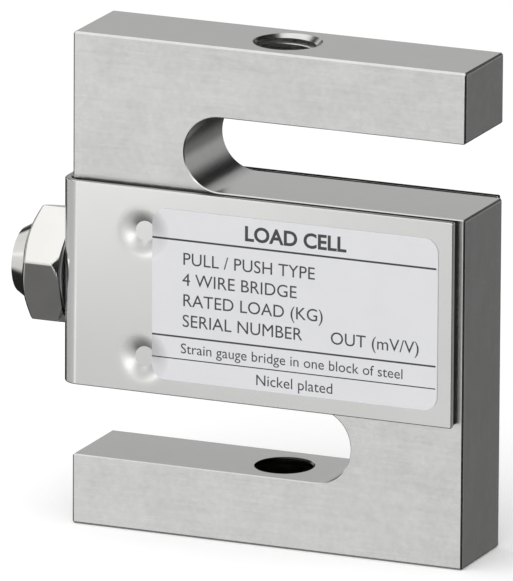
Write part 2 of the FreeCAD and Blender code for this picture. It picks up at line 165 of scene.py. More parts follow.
def cutter_ring(left, top):
    """Corners of the cutter's V-section, so many steps before the helix ends at the front of the hole."""
    full = MAJOR_RADIUS - CUTTER_RADIUS
    half_root = ROOT_FLAT / 2
    half_mouth = half_root + full * math.tan(FLANK)
    angle = -math.pi / 2 - 2 * math.pi * left / STEPS_PER_TURN
    rise = top - PITCH * left / STEPS_PER_TURN
    depth = full * min(1.0, RUN_OUT_DEPTH + (1 - RUN_OUT_DEPTH) * left / RUN_OUT_STEPS)
    section = ((0, -half_mouth), (depth, -half_root), (depth, half_root), (0, half_mouth))
    radii = [(CUTTER_RADIUS + reach, z) for reach, z in section]
    return [(r * math.cos(angle), r * math.sin(angle), rise + z) for r, z in radii]


def helix_cutter(name, bottom, top):
    """Closed V-section swept up a right-hand helix, which fades out at its top."""
    steps = round((top - bottom) / PITCH * STEPS_PER_TURN)
    solid = bmesh.new()
    rings = []
    for left in range(steps, -1, -1):
        rings.append([solid.verts.new(corner) for corner in cutter_ring(left, top)])
    for lower, upper in zip(rings, rings[1:]):
        for side in range(4):
            following = (side + 1) % 4
            solid.faces.new((lower[side], lower[following], upper[following], upper[side]))
    solid.faces.new(rings[0][::-1])
    solid.faces.new(rings[-1])
    bmesh.ops.recalc_face_normals(solid, faces=solid.faces)
    return new_object(name, close_mesh(solid, bpy.data.meshes.new(name)))


print("cutter depth in mm:", round((MAJOR_RADIUS - CUTTER_RADIUS) / MM, 2))

# %% [markdown]
# The cutters are taken away from the block with booleans, which are applied at once, so that later steps work
# on real faces. A tap starts below the countersink, so the upper groove fades out there, on the side of the
# hole that faces away from the camera.

# %% Threads cut in both arms
COUNTERSINK = 0.8 * MM
ARM_HEIGHT = 8.7 * MM
block_low, block_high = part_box("spring_body")


def applied(piece):
    """Mesh of a piece as its modifiers and outlines make it."""
    evaluated = piece.evaluated_get(bpy.context.evaluated_depsgraph_get())
    return bpy.data.meshes.new_from_object(evaluated)


def cut_away(piece, cutter):
    """Boolean difference, applied, with the cutter deleted afterwards."""
    difference = piece.modifiers.new("cut", "BOOLEAN")
    difference.operation = "DIFFERENCE"
    difference.solver = "EXACT"
    difference.object = cutter
    result = applied(piece)
    piece.modifiers.clear()
    piece.data = result
    bpy.data.objects.remove(cutter)


tap_start = block_high.z - COUNTERSINK + PITCH / 2
for name, bottom, top in (
    ("lower_thread", block_low.z - PITCH, block_low.z + ARM_HEIGHT + PITCH),
    ("upper_thread", block_high.z - ARM_HEIGHT - PITCH, tap_start),
):
    before = len(block.data.polygons)
    cut_away(block, helix_cutter(name, bottom, top))
    print(name, "added", len(block.data.polygons) - before, "faces")

# %% [markdown]
# To finish such a copy, chosen edges are rounded with a small bevel, every edge is marked sharp or smooth
# by its angle, and normals weighted by area keep the large faces flat to the light. Then it stands in for
# its CAD node, which is hidden and stays where it is.

# %% Helpers for edges and shading
SMOOTH = math.radians(25)
ROUND_SEGMENTS = 4
ROUND_PROFILE = 0.5
FULL_AREA_WEIGHT = 100


def stand_in(piece, node):
    """The piece shows instead of the CAD node and rides on the root."""
    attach(piece, "root")
    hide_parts(node)


def middle_of(edge):
    """Point halfway along an edge."""
    return (edge.verts[0].co + edge.verts[1].co) / 2


def soften_edges(piece, width, sharper_than, wanted):
    """Round the sharp edges that pass the wanted test, and count them."""
    solid = open_mesh(piece.data)
    folds = [edge for edge in solid.edges if len(edge.link_faces) == 2]
    edges = [edge for edge in folds if edge.calc_face_angle() > sharper_than and wanted(edge)]
    arc = {"offset": width, "segments": ROUND_SEGMENTS, "profile": ROUND_PROFILE}
    bmesh.ops.bevel(solid, geom=edges, affect="EDGES", clamp_overlap=False, **arc)
    bmesh.ops.dissolve_degenerate(solid, dist=WELD, edges=solid.edges)
    close_mesh(solid, piece.data)
    return len(edges)


def shade(piece):
    """Smooth shading that stops at sharp edges, with normals weighted by face area."""
    solid = open_mesh(piece.data)
    for face in solid.faces:
        face.smooth = True
    for edge in solid.edges:
        edge.smooth = edge.calc_face_angle() < SMOOTH
    close_mesh(solid, piece.data)
    weighted = piece.modifiers.new("weighted normals", "WEIGHTED_NORMAL")
    weighted.keep_sharp = True
    weighted.weight = FULL_AREA_WEIGHT


print("edge helpers ready")

# %% [markdown]
# A milled edge is never knife sharp: it is broken with a file, and that thin slope catches the light as a
# bright or dark line. The chamfers are in the CAD already. Here the edges of the outer ones are rounded
# once more, so that such a chamfer runs softly into its faces. The slot rims stay crisp.

# %% Broken edges on the block
OUTER_ROUND = 0.05 * MM
CHAMFER = 0.25 * MM
CHAMFER_REACH = 1.2 * CHAMFER
THREAD_ZONE = 5.0 * MM
MILLED_ANGLE = math.radians(20)


def on_outside(edge):
    """True for the edges of the chamfers round the block's top, bottom and end faces."""
    middle = middle_of(edge)
    near_end = abs(middle.x) > block_high.x - CHAMFER_REACH
    near_top = min(middle.z - block_low.z, block_high.z - middle.z) < CHAMFER_REACH
    return (near_end or near_top) and math.hypot(middle.x, middle.y) > THREAD_ZONE


rounded = soften_edges(block, OUTER_ROUND, MILLED_ANGLE, on_outside)
shade(block)
stand_in(block, "spring_body")
print("edges rounded on the block:", rounded)

# %% [markdown]
# Sheet metal is sheared: the blade pulls the sheet's edge down into a small round before it breaks off, and
# that round is the bright line along the cover's outline. The cut itself stays dull and dark, which the
# material sees to later.

# %% Sheared edges on the cover
SHEAR_ROUND = 0.18 * MM
SHEARED_ANGLE = math.radians(60)
GLAND_ZONE = 5.0 * MM
gland_low, gland_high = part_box("gland_screw")
gland_axis = (gland_low.z + gland_high.z) / 2


def on_outline(edge):
    """True for the sheet's outline, and False for the gland's hole in the left wall."""
    middle = middle_of(edge)
    return math.hypot(middle.y, middle.z - gland_axis) > GLAND_ZONE


cover = welded_copy("cover", "cover_sheet")
rounded = soften_edges(cover, SHEAR_ROUND, SHEARED_ANGLE, on_outline)
shade(cover)
stand_in(cover, "cover")
print("edges rounded on the cover:", rounded)

# %% [markdown]
# The gland's hex was polished before plating, and that takes the corners off: between a flat and a turned
# chamfer runs a thin dark line. A bevel has no room on so thin a chamfer, so the gland is turned anew as a
# ring of sections. On the head the radius at each place is the smallest of three: the flat, the left chamfer
# and the right chamfer, and wherever two of them cross the change is blended. Lengths are in millimetres.

# %% The gland's section
FLAT_REACH = 6.9
FLAT_TURN = math.radians(44.1)
LEFT_FACE, LEFT_SLOPE, LEFT_BLEND = 6.7, math.radians(30), 0.4
RIGHT_FACE, RIGHT_SLOPE, RIGHT_BLEND = 7.25, math.radians(45), 0.12
CORNER_BLEND = 0.22
HEX_LENGTH, NECK_LENGTH, NOSE_RIM = 4.95, 0.25, 0.15
NOSE_RADIUS, TIP_RADIUS, NECK_RADIUS, STEM_RADIUS = 5.3, 4.035, 5.1, 3.95
HOLE_RADIUS, HOLE_BEVEL = 2.7, 0.4
HEAD_STEP, HEAD_STEPS = 0.04, 26
hex_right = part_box("gland_face_washer")[0].x / MM
hex_left = hex_right - HEX_LENGTH


def softer_of(first, second, width):
    """Smaller of two radii, with their crossing blended over a width."""
    near = max(width - abs(first - second), 0) / width
    return min(first, second) - near * near * width / 4


def head_radius(turn, x):
    """Radius of the hex head at an angle round its axis and a place along it."""
    off = abs((turn - FLAT_TURN + math.pi / 6) % (math.pi / 3) - math.pi / 6)
    this_flat, next_flat = FLAT_REACH / math.cos(off), FLAT_REACH / math.cos(math.pi / 3 - off)
    left = LEFT_FACE + (x - hex_left) / math.tan(LEFT_SLOPE)
    right = RIGHT_FACE + (hex_right - x) / math.tan(RIGHT_SLOPE)
    radius = softer_of(this_flat, next_flat, CORNER_BLEND)
    return softer_of(softer_of(radius, left, LEFT_BLEND), right, RIGHT_BLEND)


def gland_stations():
    """Places along the gland's closed section with their radius, which is None on the hex head."""
    nose_left, stem_end = gland_low.x / MM, gland_high.x / MM
    neck_left = hex_left - NECK_LENGTH
    tip = [(nose_left, HOLE_RADIUS + HOLE_BEVEL), (nose_left, TIP_RADIUS)]
    nose = [(neck_left - NOSE_RIM, NOSE_RADIUS), (neck_left, NOSE_RADIUS)]
    neck = [(neck_left, NECK_RADIUS), (hex_left, NECK_RADIUS)]
    steps = [HEAD_STEP * step for step in range(HEAD_STEPS)]
    head = [(hex_left + step, None) for step in steps] + [(hex_right - step, None) for step in steps[::-1]]
    stem = [(hex_right, STEM_RADIUS), (stem_end, STEM_RADIUS)]
    hole = [(stem_end, HOLE_RADIUS), (nose_left + HOLE_BEVEL, HOLE_RADIUS)]
    return tip + nose + neck + head + stem + hole


print("stations along the gland:", len(gland_stations()))

# %% [markdown]
# Every station becomes one loop of points round the gland's axis, and neighbouring loops are joined by
# faces. The points crowd towards the corners of the hex, where the polished edges need them.

# %% A turned gland with polished edges
HALF_FLAT = (0, 6.5, 13, 19, 23, 26, 27.5, 28.4, 29.1, 29.6)
FLAT_STEPS = (-30, *(-step for step in HALF_FLAT[:0:-1]), *HALF_FLAT)


def turn_gland(name):
    """Closed ring of sections: the last loop is joined to the first one."""
    turns = [FLAT_TURN + math.radians(60 * flat + step) for flat in range(6) for step in FLAT_STEPS]
    solid = bmesh.new()
    loops = []
    for x, radius in gland_stations():
        loop = []
        for turn in turns:
            r = (head_radius(turn, x) if radius is None else radius) * MM
            loop.append(solid.verts.new((x * MM, -r * math.cos(turn), gland_axis + r * math.sin(turn))))
        loops.append(loop)
    for loop, following in zip(loops, loops[1:] + loops[:1]):
        for side in range(len(turns)):
            solid.faces.new((loop[side - 1], loop[side], following[side], following[side - 1]))
    bmesh.ops.recalc_face_normals(solid, faces=solid.faces)
    return new_object(name, close_mesh(solid, bpy.data.meshes.new(name)))


gland = turn_gland("gland_body")
shade(gland)
stand_in(gland, "gland_screw")
print("faces on the turned gland:", len(gland.data.polygons))

# %% [markdown]
# Materials are made of nodes, and most nodes are small sums. These helpers keep the code short: each adds
# one node, fills its sockets with plain values or links, and hands back the socket with the result.

# %% Node helpers


def feed(tree, made, sockets):
    """Fill sockets, given by name or number, with plain values or with links."""
    for socket, given in sockets.items():
        if isinstance(given, bpy.types.NodeSocket):
            tree.links.new(given, made.inputs[socket])
        else:
            made.inputs[socket].default_value = given


def add(tree, kind, sockets=None, **settings):
    """New node with its settings and filled sockets."""
    made = tree.nodes.new("ShaderNode" + kind)
    for name, setting in settings.items():
        setattr(made, name, setting)
    feed(tree, made, sockets or {})
    return made


def maths(tree, operation, *given):
    """Socket with the result of an operation on numbers."""
    return add(tree, "Math", dict(enumerate(given)), operation=operation).outputs[0]


def vectors(tree, operation, *given, result="Vector"):
    """Socket with the result of an operation on vectors."""
    return add(tree, "VectorMath", dict(enumerate(given)), operation=operation).outputs[result]


def scaled(tree, place, factor):
    """Socket with a vector times a number."""
    return add(tree, "VectorMath", {0: place, "Scale": factor}, operation="SCALE").outputs[0]


def parts(tree, place):
    """Sockets X, Y and Z of a vector."""
    return add(tree, "SeparateXYZ", {0: place}).outputs


def ramp(tree, value, start, end, low=0.0, high=1.0, **settings):
    """Socket that goes from low to high while a value goes from start to end."""
    limits = {"From Min": start, "From Max": end, "To Min": low, "To Max": high}
    return add(tree, "MapRange", {"Value": value, **limits}, **settings).outputs[0]


def remap(tree, share, low, high):
    """Socket that takes a share of 0 to 1 to a range."""
    return ramp(tree, share, 0.0, 1.0, low, high)


def mix(tree, share, first, second):
    """Socket with one number turning into another."""
    return add(tree, "Mix", {0: share, 2: first, 3: second}, data_type="FLOAT").outputs[0]


def blend(tree, share, first, second):
    """Socket with one colour turning into another."""
    return add(tree, "Mix", {0: share, 6: first, 7: second}, data_type="RGBA").outputs[2]


def noise(tree, place, **sockets):
    """Socket with soft noise around one half."""
    return add(tree, "TexNoise", {"Vector": place, "Scale": 1.0, **sockets}).outputs[0]


print("node helpers ready")

# %% [markdown]
# Effects that several materials share become node groups with named inputs and outputs. One helper opens such
# a group, and one places it in a material with that material's own values.

# %% Group helpers


def open_group(name, inputs, outputs):
    """Empty shader group, with the sockets that enter it and the node that they leave by."""
    group = bpy.data.node_groups.new(name, "ShaderNodeTree")
    for label, start in inputs.items():
        kind = "NodeSocketFloat" if isinstance(start, float) else "NodeSocketVector"
        group.interface.new_socket(label, in_out="INPUT", socket_type=kind).default_value = start
    for label in outputs:
        group.interface.new_socket(label, in_out="OUTPUT", socket_type="NodeSocketFloat")
    return group, group.nodes.new("NodeGroupInput").outputs, group.nodes.new("NodeGroupOutput")


def use(tree, group, **sockets):
    """Outputs of a group that is placed in a material; an underscore stands for a space."""
    filled = {label.replace("_", " "): given for label, given in sockets.items()}
    return add(tree, "Group", filled, node_tree=group).outputs


print("group helpers ready")

# %% [markdown]
# Ground steel shows long fine lines that run the way the wheel went. Noise that is squeezed across the
# lines and drawn out along them gives that. On the two end faces the wheel went up and down, so the
# group looks at the surface's own direction and changes the way of the lines there.

# %% Shared effect: grinding lines
END_FACE = 0.7
BAND_SCALE = 0.17
BAND_SHARE = 0.4


def make_grinding_lines():
    """Group with lines along X, or along Z on end faces, as a height and a tone around one half."""
    inputs = {"Place": (0, 0, 0), "Spacing": 0.12, "Length": 9.0}
    group, entry, leave = open_group("Grinding lines", inputs, ("Height", "Tone"))
    facing = parts(group, add(group, "NewGeometry").outputs["Normal"])
    end_face = maths(group, "GREATER_THAN", maths(group, "ABSOLUTE", facing["X"]), END_FACE)
    across = maths(group, "DIVIDE", 1.0, entry["Spacing"])
    along = maths(group, "DIVIDE", 1.0, entry["Length"])
    lying = add(group, "CombineXYZ", {"X": along, "Y": across, "Z": across}).outputs[0]
    standing = add(group, "CombineXYZ", {"X": across, "Y": across, "Z": along}).outputs[0]
    stretch = add(group, "Mix", {0: end_face, 4: lying, 5: standing}, data_type="VECTOR").outputs[1]
    drawn = vectors(group, "MULTIPLY", entry["Place"], stretch)
    lines = noise(group, drawn, Detail=4.0, Roughness=0.65)
    bands = noise(group, scaled(group, drawn, BAND_SCALE), Detail=3.0, Roughness=0.6)
    feed(group, leave, {"Height": lines, "Tone": mix(group, BAND_SHARE, lines, bands)})
    return group


grinding_lines = make_grinding_lines()
print("group made:", grinding_lines.name)

# %% [markdown]
# Plated metal that has been handled is never quite even: faint clouds where it was wiped, and tiny specks
# where the plate is rougher. One group gives both, as a soft cloud and as a sparse speck mask.

# %% Shared effect: clouds and specks
SPECK_RANGE = (0.62, 0.74)


def make_clouds():
    """Group with a soft cloud around one half and a sparse mask of specks."""
    inputs = {"Place": (0, 0, 0), "Cloud size": 8.0, "Speck size": 0.5}
    group, entry, leave = open_group("Clouds and specks", inputs, ("Cloud", "Specks"))
    wide = maths(group, "DIVIDE", 1.0, entry["Cloud size"])
    small = maths(group, "DIVIDE", 1.0, entry["Speck size"])
    cloud = noise(group, entry["Place"], Scale=wide, Detail=5.0, Roughness=0.55, Distortion=0.4)
    grain = noise(group, entry["Place"], Scale=small, Detail=2.0, Roughness=0.5)
    feed(group, leave, {"Cloud": cloud, "Specks": ramp(group, grain, *SPECK_RANGE)})
    return group


clouds = make_clouds()
print("group made:", clouds.name)

# %% [markdown]
# Two weld dimples are pressed into the front plate, and the film is stretched over their right half. Both the
# sheet and the film change there: the sheet is duller and flows softly into the dish, and the film sags. One
# group measures how far a place is from the nearer dimple, and each material makes its own use of that.

# %% Shared effect: distance from the dimples
DIMPLE_X = -15.5
DIMPLE_HEIGHTS = (22.1, 37.6)
DIMPLE_RADIUS = 3.7
DIMPLE_FLAT = 1.25


def make_dimple_field():
    """Group with the distance from the nearer dimple and a mask that grows from its rim to its flat."""
    name = "Distance from the dimples"
    group, entry, leave = open_group(name, {"Place": (0, 0, 0)}, ("Distance", "Dish"))
    level = vectors(group, "MULTIPLY", entry["Place"], (1, 0, 1))
    middles = [(DIMPLE_X, 0, height) for height in DIMPLE_HEIGHTS]
    away = [vectors(group, "DISTANCE", level, middle, result="Value") for middle in middles]
    nearest = maths(group, "MINIMUM", *away)
    slope = ramp(group, nearest, DIMPLE_RADIUS, DIMPLE_RADIUS / 2)
    outside_flat = maths(group, "GREATER_THAN", nearest, DIMPLE_FLAT)
    feed(group, leave, {"Distance": nearest, "Dish": maths(group, "MULTIPLY", slope, outside_flat)})
    return group


dimple_field = make_dimple_field()
print("group made:", dimple_field.name)

# %% [markdown]
# Every material starts from the same few nodes: its Principled shader and the place on the part in
# millimetres, so that a pattern's size can be written as it would be measured. A value that is the same all
# over goes straight on the shader's socket, and only what changes over the surface is linked. The finished
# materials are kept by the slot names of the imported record.

# %% Material helpers
finishes = {}


def new_material(name):
    """Material with its node tree and a socket with the place in millimetres."""
    material = bpy.data.materials.new(name)
    material.use_nodes = True
    tree = material.node_tree
    return material, tree, scaled(tree, add(tree, "TexCoord").outputs["Object"], 1 / MM)


def dress(material, looks):
    """Fill the sockets of the material's shader."""
    feed(material.node_tree, material.node_tree.nodes["Principled BSDF"], looks)
    return material


def facing(tree):
    """Sockets X, Y and Z of the direction that the surface looks in."""
    return parts(tree, add(tree, "TexCoord").outputs["Normal"])


def relief(tree, height, strength, depth, **under):
    """Socket with the normal of a height of 0 to 1 that stands for a depth in millimetres."""
    sockets = {"Height": height, "Strength": strength, "Distance": depth * MM}
    return add(tree, "Bump", {**sockets, **under}).outputs[0]


print("material helpers ready")

# %% [markdown]
# The block is alloy steel, ground and then plated with satin nickel: light grey, a little warm, with a soft
# reflection. Its colour hardly varies, so most of the life is in the roughness and in the shallow lines. The
# level faces are a little gritty, and the lower thread is painted dark: painted shade inside the deep bore.

# %% Material: satin plated steel
PLATE_DARK = (0.61, 0.61, 0.602, 1)
PLATE_LIGHT = (0.70, 0.70, 0.692, 1)
PLATE_ROUGHNESS = (0.19, 0.27)
PLATE_CONTRAST = (0.35, 0.65)
GRAIN_SHARE = 0.45
LINE_SHARE = 0.38
LEVEL_FACE = 0.995
TOP_GRIT = 6.0
THREAD_SHADE_COLOUR = (0.22, 0.22, 0.21, 1)
THREAD_SHADE_RADIUS = (4.25, 4.15)
THREAD_SHADE_HEIGHT = (8.7, 8.65)


def thread_shade_mask(tree, place):
    """Socket that is 1 on the lower thread, which takes a dark colour as painted shade."""
    level = vectors(tree, "MULTIPLY", place, (1, 1, 0))
    inside = ramp(tree, vectors(tree, "LENGTH", level, result="Value"), *THREAD_SHADE_RADIUS)
    below = ramp(tree, parts(tree, place)["Z"], *THREAD_SHADE_HEIGHT)
    return maths(tree, "MULTIPLY", inside, below)


def make_plated_steel():
    material, tree, place = new_material("plated steel")
    lines = use(tree, grinding_lines, Place=place, Spacing=0.22, Length=5.0)
    haze = use(tree, clouds, Place=place, Cloud_size=4.0, Speck_size=0.45)
    grain = use(tree, clouds, Place=place, Cloud_size=0.7, Speck_size=0.2)
    mottle = mix(tree, GRAIN_SHARE, haze["Cloud"], grain["Cloud"])
    tone = ramp(tree, mix(tree, LINE_SHARE, mottle, lines["Tone"]), *PLATE_CONTRAST)
    clean = blend(tree, tone, PLATE_DARK, PLATE_LIGHT)
    level = ramp(tree, facing(tree)["Z"], LEVEL_FACE, 1.0, high=TOP_GRIT)
    grit = maths(tree, "MULTIPLY_ADD", grain["Cloud"], level, lines["Height"])
    looks = {
        # The lower thread is darkened as painted shade, for the deep bore that little light reaches.
        "Base Color": blend(tree, thread_shade_mask(tree, place), clean, THREAD_SHADE_COLOUR),
        "Metallic": 1.0,
        "Roughness": remap(tree, tone, *PLATE_ROUGHNESS),
        "Normal": relief(tree, grit, strength=0.5, depth=0.004),
    }
    return dress(material, looks)


finishes["plated_steel"] = make_plated_steel()
print("material made:", finishes["plated_steel"].name)

# %% [markdown]
# The cover is bright rolled sheet, and mirrors its surroundings as soft gradients. Folding and spot welding
# leave its plates very slightly twisted, which turns an even reflection into a slow change from corner to
# corner. Turning the normal by a degree or two gives that without moving a corner: the turn grows from the
# middle as a sum of the places across and up. In the dimples the normal is drawn back towards the plate, most
# of all at the rims, so that the sheet flows softly into each dish.

# %% Normals of the sheet
PLATE_HALF_WIDTH = 25.0
PLATE_FOOT, PLATE_TOP = 17.8, 43.1
TWIST = {"even": 0.3, "across": 0.1, "up": 1.5, "both": -1.25}
FRONT_FACE = (-0.9, -1.0)
CALM_START = 2.7
CALM_END = DIMPLE_RADIUS + 0.02
DISH_CALM = (0.6, 3.0)


def calmed_normal(tree, distance):
    """Socket with the sheet's normal, drawn back towards the plate inside the dimples."""
    calm = ramp(tree, distance, CALM_START, DIMPLE_RADIUS, *DISH_CALM)
    inside = maths(tree, "LESS_THAN", distance, CALM_END)
    stretch = maths(tree, "MULTIPLY_ADD", calm, inside, 1.0)
    scale = add(tree, "CombineXYZ", {"X": 1.0, "Y": stretch, "Z": 1.0}).outputs[0]
    drawn = vectors(tree, "MULTIPLY", add(tree, "NewGeometry").outputs["Normal"], scale)
    return vectors(tree, "NORMALIZE", drawn)


def twisted_normal(tree, place, normal):
    """Socket with a normal that is turned left by the twist's degrees where the front plate is flat."""
    spot = parts(tree, place)
    across = maths(tree, "DIVIDE", spot["X"], PLATE_HALF_WIDTH)
    up = ramp(tree, spot["Z"], PLATE_FOOT, PLATE_TOP, low=-1.0)
    both = maths(tree, "MULTIPLY", across, up)
    turn = TWIST["even"]
    for share, part in (("across", across), ("up", up), ("both", both)):
        turn = maths(tree, "MULTIPLY_ADD", part, TWIST[share], turn)
    flat = ramp(tree, parts(tree, normal)["Y"], *FRONT_FACE)
    lean = maths(tree, "MULTIPLY", maths(tree, "MULTIPLY", turn, -math.pi / 180), flat)
    sideways = add(tree, "CombineXYZ", {"X": lean}).outputs[0]
    return vectors(tree, "NORMALIZE", vectors(tree, "ADD", normal, sideways))


print("twist of the sheet in degrees:", TWIST)

# %% [markdown]
# The sheet's cut edges are duller than its faces. On the rear plate the cut edges are coloured black, so
# there the metal gives way to a matt black. It has no sheen: the
# specular level is zero for the whole sheet, which changes nothing on bare metal.

# %% Material: bright sheet
SHEET_DARK = (0.655, 0.655, 0.645, 1)
SHEET_LIGHT = (0.725, 0.725, 0.715, 1)
SHEET_ROUGHNESS = (0.17, 0.27)
DISH_ROUGHNESS = 0.34
CUT_COLOUR = (0.5, 0.5, 0.49, 1)
CUT_ROUGHNESS = 0.35
CUT_LIMIT = 0.92
REAR_CUT_BLACK = (0.02, 0.02, 0.02, 1)
REAR_CUT_ROUGHNESS = 0.9
REAR_CUT_LIMIT = 0.75


def cut_mask(tree, limit):
    """Socket that is 1 on the sheet's cut faces: those that look up, down or along +X."""
    way = facing(tree)
    most = maths(tree, "MAXIMUM", maths(tree, "ABSOLUTE", way["Z"]), way["X"])
    return maths(tree, "GREATER_THAN", most, limit)


def make_cover_steel():
    material, tree, place = new_material("bright sheet")
    lines = use(tree, grinding_lines, Place=place, Spacing=0.07, Length=14.0)
    haze = use(tree, clouds, Place=place, Cloud_size=11.0, Speck_size=0.4)
    dimples = use(tree, dimple_field, Place=place)
    behind = maths(tree, "GREATER_THAN", parts(tree, place)["Y"], 0.0)
    # The rear plate's cut edges are coloured a matt black.
    rear_black = maths(tree, "MULTIPLY", cut_mask(tree, REAR_CUT_LIMIT), behind)
    cut = maths(tree, "MAXIMUM", cut_mask(tree, CUT_LIMIT), rear_black)
    bright = blend(tree, haze["Cloud"], SHEET_DARK, SHEET_LIGHT)
    cut_colour = blend(tree, rear_black, CUT_COLOUR, REAR_CUT_BLACK)
    smooth = remap(tree, lines["Tone"], *SHEET_ROUGHNESS)
    dulled = mix(tree, dimples["Dish"], smooth, DISH_ROUGHNESS)
    cut_rough = remap(tree, rear_black, CUT_ROUGHNESS, REAR_CUT_ROUGHNESS)
    twisted = twisted_normal(tree, place, calmed_normal(tree, dimples["Distance"]))
    looks = {
        "Base Color": blend(tree, cut, bright, cut_colour),
        "Metallic": remap(tree, rear_black, 1.0, 0.0),
        "Roughness": mix(tree, cut, dulled, cut_rough),
        "Specular IOR Level": 0.0,
        "Normal": relief(tree, haze["Cloud"], strength=0.2, depth=0.05, Normal=twisted),
    }
    return dress(material, looks)


finishes["cover_steel"] = make_cover_steel()
print("material made:", finishes["cover_steel"].name)

# %% [markdown]
# The plate is a silver-white film with printed rules, painted in the film's own material. Each rule is a
# band of heights with a thickness, and ends a little short of the film's right edge. Over the dimples the
# film sags, which is a broad bump.

# %% Material: printed film
RULES = ((37.25, 0.24), (25.3, 0.22), (22.55, 0.14))
RULE_END = 22.5
RULE_INK = (0.035, 0.035, 0.04, 1)
FILM_DARK = (0.70, 0.70, 0.725, 1)
FILM_LIGHT = (0.765, 0.765, 0.785, 1)
FILM_ROUGHNESS = (0.33, 0.43)
FILM_SAG = 1.4


def rule_mask(tree, place, height, thickness):
    """Socket that is 1 on one printed rule and 0 elsewhere."""
    spot = parts(tree, place)
    off = maths(tree, "ABSOLUTE", maths(tree, "SUBTRACT", spot["Z"], height))
    band = maths(tree, "LESS_THAN", off, thickness / 2)
    return maths(tree, "MULTIPLY", band, maths(tree, "LESS_THAN", spot["X"], RULE_END))


def make_label_film():
    material, tree, place = new_material("printed film")
    haze = use(tree, clouds, Place=place, Cloud_size=6.0, Speck_size=0.35)
    silver = blend(tree, haze["Cloud"], FILM_DARK, FILM_LIGHT)
    inked = 0.0
    for height, thickness in RULES:
        inked = maths(tree, "MAXIMUM", inked, rule_mask(tree, place, height, thickness))
    away = use(tree, dimple_field, Place=place)["Distance"]
    sag = ramp(tree, away, 0.0, DIMPLE_RADIUS, interpolation_type="SMOOTHSTEP")
    sunk = relief(tree, sag, strength=1.0, depth=FILM_SAG)
    looks = {
        "Base Color": blend(tree, inked, silver, RULE_INK),
        "Metallic": 0.25,
        "Roughness": remap(tree, haze["Cloud"], *FILM_ROUGHNESS),
        "Coat Weight": 0.25,
        "Coat Roughness": 0.25,
        "Normal": relief(tree, haze["Specks"], strength=0.15, depth=0.004, Normal=sunk),
    }
    return dress(material, looks)


finishes["label_film"] = make_label_film()
print("material made:", finishes["label_film"].name, "with", len(RULES), "rules")

# %% [markdown]
# The gland is turned brass under bright nickel. It mirrors almost sharply, with faint rings from turning.
# The faces of its head and stem that look towards the cover are painted near black: painted shade in the gap
# between the head and the cover wall.

# %% Material: bright nickel
NICKEL_DARK = (0.70, 0.695, 0.67, 1)
NICKEL_LIGHT = (0.78, 0.775, 0.75, 1)
NICKEL_ROUGHNESS = (0.09, 0.17)
SEAT_SHADE_COLOUR = (0.05, 0.05, 0.05, 1)
SEAT_SHADE_LIMIT = 0.9


def make_plated_brass():
    material, tree, place = new_material("bright nickel")
    haze = use(tree, clouds, Place=place, Cloud_size=5.0, Speck_size=0.3)
    bright = blend(tree, haze["Cloud"], NICKEL_DARK, NICKEL_LIGHT)
    # Faces that look towards the cover wall: painted shade in the gap between the head and the wall.
    seat_shade = maths(tree, "GREATER_THAN", facing(tree)["X"], SEAT_SHADE_LIMIT)
    turned = {"Vector": place, "Scale": 6.0, "Distortion": 0.6, "Detail": 2.0}
    rings = add(tree, "TexWave", turned, bands_direction="X").outputs[1]
    looks = {
        "Base Color": blend(tree, seat_shade, bright, SEAT_SHADE_COLOUR),
        "Metallic": 1.0,
        "Roughness": remap(tree, haze["Cloud"], *NICKEL_ROUGHNESS),
        "Normal": relief(tree, rings, strength=0.08, depth=0.003),
    }
    return dress(material, looks)


finishes["plated_brass"] = make_plated_brass()
print("material made:", finishes["plated_brass"].name)

# %% [markdown]
# The remaining finishes are small or hidden. Sealant and rubber are matt blacks that differ in depth and
# grain, so one function makes both. The washer is zinc plated steel, with the shared lines on a small scale.

# %% Materials: seals, rubber and washer
ZINC_DARK = (0.55, 0.55, 0.56, 1)
ZINC_LIGHT = (0.66, 0.66, 0.67, 1)
ZINC_ROUGHNESS = (0.25, 0.4)


def grey(level):
    """Colour with the same level in red, green and blue."""
    return (level, level, level, 1)


def make_soft_black(name, levels, roughness, speck_size):
    material, tree, place = new_material(name)
    haze = use(tree, clouds, Place=place, Cloud_size=2.5, Speck_size=speck_size)
    looks = {
        "Base Color": blend(tree, haze["Cloud"], *map(grey, levels)),
        "Roughness": remap(tree, haze["Cloud"], *roughness),
        "Specular IOR Level": 0.15,
        "Normal": relief(tree, haze["Specks"], strength=0.4, depth=0.02),
    }
    return dress(material, looks)


def make_washer_steel():
    material, tree, place = new_material("zinc washer")
    lines = use(tree, grinding_lines, Place=place, Spacing=0.1, Length=3.0)
    looks = {
        "Base Color": blend(tree, lines["Tone"], ZINC_DARK, ZINC_LIGHT),
        "Metallic": 1.0,
        "Roughness": remap(tree, lines["Tone"], *ZINC_ROUGHNESS),
        "Normal": relief(tree, lines["Height"], strength=0.3, depth=0.004),
    }
    return dress(material, looks)


finishes["black_sealant"] = make_soft_black("black sealant", (0.008, 0.02), (0.55, 0.8), speck_size=0.3)
finishes["black_rubber"] = make_soft_black("black rubber", (0.015, 0.03), (0.5, 0.7), speck_size=0.2)
finishes["washer_steel"] = make_washer_steel()
print("materials made:", [finishes[slot].name for slot in ("black_sealant", "black_rubber", "washer_steel")])

# %% [markdown]
# Under the cover sit the gauges with their solder terminals and ribbon leads. A foil gauge is an amber film
# with a meander of metal, which stripes along the bore stand for. The bare metals differ only in colour, so
# that an opened cell looks right at little cost.

# %% Materials: gauges, terminals and leads
GRID_PITCH = 0.35
WAVE_PERIOD = 0.314
AMBER = (0.55, 0.27, 0.05, 1)
FOIL = (0.62, 0.52, 0.38, 1)
BARE_ROUGHNESS = (0.22, 0.42)
BARE_METALS = {
    "terminal_copper": ("terminal copper", (0.60, 0.33, 0.19, 1), (0.80, 0.55, 0.38, 1)),
    "lead_copper": ("ribbon copper", (0.58, 0.28, 0.16, 1), (0.78, 0.47, 0.32, 1)),
    "pad_tin": ("tinned pad", (0.62, 0.62, 0.60, 1), (0.78, 0.78, 0.76, 1)),
}


